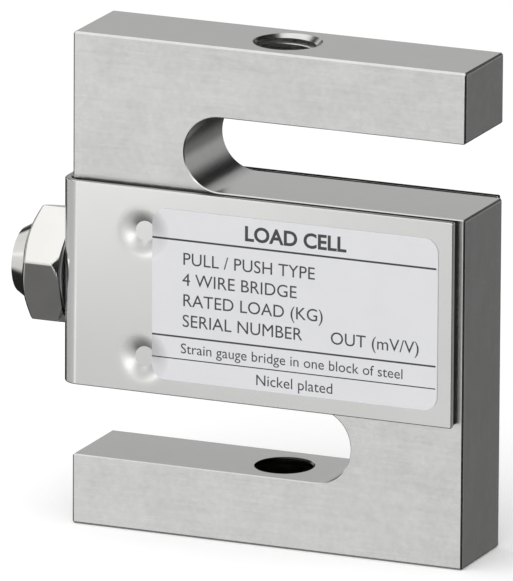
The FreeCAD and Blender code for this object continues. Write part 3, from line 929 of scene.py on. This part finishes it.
def make_gauge_film():
    material, tree, place = new_material("gauge film")
    grid = {"Vector": place, "Scale": WAVE_PERIOD / GRID_PITCH, "Distortion": 0.0}
    stripes = add(tree, "TexWave", grid, bands_direction="Y").outputs[1]
    foil = maths(tree, "GREATER_THAN", stripes, 0.5)
    looks = {
        "Base Color": blend(tree, foil, AMBER, FOIL),
        "Metallic": remap(tree, foil, 0.0, 0.8),
        "Roughness": remap(tree, foil, 0.4, 0.28),
    }
    return dress(material, looks)


def make_bare_metal(name, dark, light):
    material, tree, place = new_material(name)
    cloud = use(tree, clouds, Place=place, Cloud_size=0.8, Speck_size=0.15)["Cloud"]
    looks = {
        "Base Color": blend(tree, cloud, dark, light),
        "Metallic": 1.0,
        "Roughness": remap(tree, cloud, *BARE_ROUGHNESS),
        "Normal": relief(tree, cloud, strength=0.3, depth=0.02),
    }
    return dress(material, looks)


finishes["gauge_film"] = make_gauge_film()
for slot, row in BARE_METALS.items():
    finishes[slot] = make_bare_metal(*row)
print("materials made:", finishes["gauge_film"].name, [finishes[slot].name for slot in BARE_METALS])

# %% [markdown]
# The bridge board is green laminate, whose tracks show through the mask as paler bands; the joints of a
# brick pattern draw them. It is held by foam tape with open cells, and carries chip resistors with tinned
# caps at their ends.

# %% Materials: board, tape and chips
MASK_DARK = (0.012, 0.12, 0.05, 1)
MASK_LIGHT = (0.02, 0.19, 0.08, 1)
TRACK_GREEN = (0.06, 0.32, 0.14, 1)
FOAM_DARK = (0.62, 0.62, 0.6, 1)
FOAM_LIGHT = (0.82, 0.82, 0.8, 1)
GLAZE = (0.02, 0.02, 0.022, 1)
TINNED_CAP = (0.7, 0.7, 0.69, 1)
CAP_START = 0.5


def make_board_laminate():
    material, tree, place = new_material("solder mask")
    tones = {"Color1": grey(0), "Color2": grey(0), "Mortar": grey(1)}
    bricks = {"Vector": place, "Scale": 0.9, "Mortar Size": 0.06, **tones}
    tracks = add(tree, "TexBrick", bricks).outputs[0]
    cloud = use(tree, clouds, Place=place, Cloud_size=3.0, Speck_size=0.2)["Cloud"]
    mask = blend(tree, cloud, MASK_DARK, MASK_LIGHT)
    looks = {
        "Base Color": blend(tree, tracks, mask, TRACK_GREEN),
        "Roughness": remap(tree, cloud, 0.3, 0.45),
        "Coat Weight": 0.4,
    }
    return dress(material, looks)


def make_tape_foam():
    material, tree, place = new_material("foam tape")
    cells = add(tree, "TexVoronoi", {"Vector": place, "Scale": 4.0}).outputs[0]
    looks = {
        "Base Color": blend(tree, cells, FOAM_DARK, FOAM_LIGHT),
        "Roughness": remap(tree, cells, 0.75, 0.95),
        "Normal": relief(tree, cells, strength=0.6, depth=0.08),
    }
    return dress(material, looks)


def make_chip_ceramic():
    material, tree, place = new_material("chip resistor")
    middle = (block_low.z + block_high.z) / 2 / MM
    off = maths(tree, "ABSOLUTE", maths(tree, "SUBTRACT", parts(tree, place)["Z"], middle))
    cap = maths(tree, "GREATER_THAN", off, CAP_START)
    looks = {
        "Base Color": blend(tree, cap, GLAZE, TINNED_CAP),
        "Metallic": cap,
        "Roughness": remap(tree, cap, 0.3, 0.35),
    }
    return dress(material, looks)


finishes["board_laminate"] = make_board_laminate()
finishes["tape_foam"] = make_tape_foam()
finishes["chip_ceramic"] = make_chip_ceramic()
print("finishes so far:", len(finishes))

# %% [markdown]
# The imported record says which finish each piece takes, so materials are handed out from its own list. The
# three pieces that stand in for CAD nodes take the same finish as those.

# %% Hand out the materials
subparts = frame["record"]["subparts"]


def finish_in(piece, material):
    """The piece has this one material."""
    piece.data.materials.clear()
    piece.data.materials.append(material)


for row in subparts:
    finish_in(nodes[row["node"]], finishes[row["material_slot"]])
for piece, slot in ((block, "plated_steel"), (cover, "cover_steel"), (gland, "plated_brass")):
    finish_in(piece, finishes[slot])
print("finished nodes:", len(subparts))

# %% [markdown]
# The plate's print is kept generic: captions that any load cell could carry, with no name and no number. A
# row gives the words, the place across and up in millimetres, the height of a capital, the side that the
# line is set from, and how much bolder its strokes are.

# %% Words for the plate
PRINT = (
    ("LOAD CELL", 4.3, 38.1, 1.75, "CENTER", 0.07),
    ("PULL / PUSH TYPE", -10.3, 34.25, 1.5, "LEFT", 0.0),
    ("4 WIRE BRIDGE", -10.3, 31.7, 1.5, "LEFT", 0.0),
    ("RATED LOAD (KG)", -10.3, 29.15, 1.5, "LEFT", 0.0),
    ("SERIAL NUMBER", -10.3, 26.6, 1.5, "LEFT", 0.0),
    ("OUT (mV/V)", 8.9, 26.6, 1.5, "LEFT", 0.0),
    ("Strain gauge bridge in one block of steel", -10.5, 23.3, 1.23, "LEFT", 0.0),
    ("Nickel plated", 4.3, 20.45, 1.3, "CENTER", 0.0),
)
print("lines of print:", len(PRINT))

# %% [markdown]
# Each line is a font outline, turned into a very thin closed solid that stands on the film like ink. That
# stays sharp from close by, which a painted mask would not, and the welded outline leaves no open edges.

# %% Print on the plate
INK_DEPTH = 0.008 * MM
INK_WELD = INK_DEPTH / 20
INK_DARK = (0.03, 0.03, 0.033, 1)
INK_LIGHT = (0.06, 0.06, 0.065, 1)
CAP_SHARE = 0.69
CURVE_STEPS = 4
film_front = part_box("nameplate")[0].y


def make_ink():
    material, tree, place = new_material("ink")
    cloud = use(tree, clouds, Place=place, Cloud_size=1.5, Speck_size=0.2)["Cloud"]
    looks = {
        "Base Color": blend(tree, cloud, INK_DARK, INK_LIGHT),
        "Roughness": remap(tree, cloud, 0.4, 0.55),
    }
    return dress(material, looks)


def raised_words(words, cap_height, align, weight):
    """Closed mesh of a line of words, lying on its back."""
    outline = bpy.data.curves.new("print", "FONT")
    outline.body = words
    outline.align_x = align
    outline.size = cap_height * MM / CAP_SHARE
    outline.extrude = INK_DEPTH / 2
    outline.offset = weight * MM
    outline.resolution_u = CURVE_STEPS
    raised = new_object("print", outline)
    mesh = applied(raised)
    bpy.data.objects.remove(raised)
    return mesh


def print_line(number, words, across, up, cap_height, align, weight):
    """One line of print on the film's front face, facing the front."""
    mesh = raised_words(words, cap_height, align, weight)
    front = Vector((across * MM, film_front - INK_DEPTH / 2, up * MM))
    mesh.transform(Matrix.Translation(front) @ Matrix.Rotation(math.pi / 2, 4, "X"))
    solid = open_mesh(mesh)
    bmesh.ops.remove_doubles(solid, verts=solid.verts, dist=INK_WELD)
    line = new_object(f"print_line_{number}", close_mesh(solid, mesh))
    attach(line, "root")
    return line


ink = make_ink()
for number, row in enumerate(PRINT, start=1):
    finish_in(print_line(number, *row), ink)
print("printed with:", ink.name)

# %% [markdown]
# Polished metal is a picture of its surroundings, so the studio is built in two halves. Lamps and an even
# sky light the floor and everything that scatters light. Mirrors see something else: a ring of soft panels
# drawn in the world by direction, each with a heading, a height, a size and a level. That way a panel can
# be moved to brighten one face without changing the light on the rest.

# %% Shared effect: a soft panel by direction
PANEL_ANGLES = ("Heading", "Half width", "Height", "Half height", "Softness")


def make_panel():
    """Group with a mask that is 1 inside a panel of the sky, given by angles in degrees."""
    inputs = {"Direction": (0, 0, 0), **dict.fromkeys(PANEL_ANGLES, 0.0)}
    group, entry, leave = open_group("Soft panel", inputs, ("Mask",))
    turn = maths(group, "MULTIPLY", entry["Heading"], -math.pi / 180)
    aimed = {"Vector": entry["Direction"], "Angle": turn}
    way = parts(group, add(group, "VectorRotate", aimed, rotation_type="Z_AXIS").outputs[0])
    sideways = maths(group, "ARCTAN2", way["X"], maths(group, "MULTIPLY", way["Y"], -1.0))
    upward = maths(group, "DEGREES", maths(group, "ARCSINE", way["Z"]))
    aside = maths(group, "DEGREES", sideways)
    above = maths(group, "SUBTRACT", upward, entry["Height"])
    masks = []
    for off, half in ((aside, entry["Half width"]), (above, entry["Half height"])):
        near = maths(group, "SUBTRACT", half, entry["Softness"])
        far = maths(group, "ADD", half, entry["Softness"])
        off = maths(group, "ABSOLUTE", off)
        masks.append(ramp(group, off, near, far, 1.0, 0.0, interpolation_type="SMOOTHSTEP"))
    feed(group, leave, {"Mask": maths(group, "MULTIPLY", *masks)})
    return group


soft_panel = make_panel()
print("group made:", soft_panel.name)

# %% [markdown]
# Headings are counted from the front, positive to the right. The white table in front makes the front faces
# light, and pale strips on it draw the slow gradients of the sheet. Strips at the back light the top faces
# and the slot's end, and the gaps between them are its dark bands. The overhead panel whitens the top
# chamfers, the countersink and the gland's upper flat. Two small low panels are the bright spots in the
# dimples. The last two panels are hardly seen from the front; they keep the other sides from going black.
# A row gives heading, half width, height, half height and softness in degrees, and then the brightness.

# %% The world that mirrors see
DARK = 0.02
SKY = 0.5
PANELS = {
    "table in front": (-17, 58, -19, 19, 5, 0.62),
    "pale strip in front": (-32, 6, -14, 16, 6, 0.62),
    "pale strip to the right": (2, 19, -6, 12, 8, 0.42),
    "table under the gland": (-35, 30, -52, 12, 8, 0.16),
    "left side": (-90, 15, -4, 13, 4, 0.8),
    "left side above": (-103, 24, 16, 9, 4, 0.9),
    "strip at the back left": (-158, 17, 18, 10, 4, 0.57),
    "low strip at the back left": (-156, 10, -4, 12, 4, 0.5),
    "floor below": (-124, 35, -62, 12, 8, 0.2),
    "strip at the back right": (152, 22, 6, 12, 7, 0.4),
    "table at the right": (160, 30, -13, 9, 8, 0.163),
    "overhead": (-50, 130, 67, 23, 8, 1.2),
    "front right above": (51, 11, 30, 22, 5, 1.3),
    "haze in front": (-20, 60, 22, 22, 5, 0.62),
    "lamp above the front": (-27, 12, 31, 9, 5, 0.8),
    "low panel right": (8, 9, 0, 6, 4, 2.4),
    "low panel left": (-30, 6, -2, 5, 4, 1.4),
    "right side": (110, 20, -5, 25, 6, 0.4),
    "floor under the part": (0, 180, -84, 14, 6, 0.45),
}


def make_world():
    """White to the camera, panels to mirrors, an even sky to everything else."""
    world = bpy.data.worlds.new("studio")
    world.use_nodes = True
    world.cycles.sampling_method = "NONE"
    tree = world.node_tree
    direction = add(tree, "TexCoord").outputs["Generated"]
    level = DARK
    for *angles, brightness in PANELS.values():
        sockets = {"Direction": direction, **dict(zip(PANEL_ANGLES, angles))}
        mask = add(tree, "Group", sockets, node_tree=soft_panel).outputs["Mask"]
        level = maths(tree, "ADD", maths(tree, "MULTIPLY", mask, brightness), level)
    ray = add(tree, "LightPath").outputs
    seen = mix(tree, ray["Is Glossy Ray"], SKY, level)
    shown = mix(tree, ray["Is Camera Ray"], seen, 1.0)
    tree.links.new(shown, tree.nodes["Background"].inputs["Color"])
    return world


scene.world = make_world()
print("panels:", list(PANELS))

# %% [markdown]
# The floor is a pale sheet that keeps a soft shadow. Mirrors don't see it, because the panels stand for
# it. The lamps are large, so that the shadow stays faint, and they are kept out of reflections too. A lamp's
# row gives its place, the width and height of its face, and the radiance of that face.

# %% Floor and lamps
scene.view_settings.view_transform = "Standard"
FLOOR_HALF = 8.0
FLOOR_DROP = 0.02 * MM
FLOOR_GLOW = 0.14
FLOOR_WHITE = 0.92
LAMPS = {
    "overhead lamp": ((-0.2, -0.25, 0.9), 1.0, 1.0, 2.0),
    "front lamp": ((0.3, -1.0, 0.5), 0.8, 0.6, 1.5),
}


def make_floor():
    """White sheet just under the part, a little brighter to the camera than the light makes it."""
    mesh = bpy.data.meshes.new("floor")
    signs = ((-1, -1), (1, -1), (1, 1), (-1, 1))
    mesh.from_pydata([(x * FLOOR_HALF, y * FLOOR_HALF, -FLOOR_DROP) for x, y in signs], [], [(0, 1, 2, 3)])
    sheet = new_object("floor", mesh)
    sheet.visible_glossy = False
    material = bpy.data.materials.new("white floor")
    material.use_nodes = True
    tree = material.node_tree
    seen = add(tree, "LightPath").outputs["Is Camera Ray"]
    looks = {
        "Base Color": grey(FLOOR_WHITE),
        "Roughness": 1.0,
        "Specular IOR Level": 0.0,
        "Emission Color": grey(1),
        "Emission Strength": maths(tree, "MULTIPLY", seen, FLOOR_GLOW),
    }
    finish_in(sheet, dress(material, looks))


def softbox(name, place, width, height, radiance):
    """Area lamp aimed at the cell, with its strength given as the radiance of its face."""
    lamp = bpy.data.lights.new(name, "AREA")
    lamp.shape = "RECTANGLE"
    lamp.size = width
    lamp.size_y = height
    lamp.energy = radiance * math.pi * width * height
    box = new_object(name, lamp)
    box.location = place
    box.rotation_euler = (AIM - Vector(place)).to_track_quat("-Z", "Y").to_euler()
    box.visible_glossy = False


make_floor()
for name, row in LAMPS.items():
    softbox(name, *row)
print("lamps:", list(LAMPS))
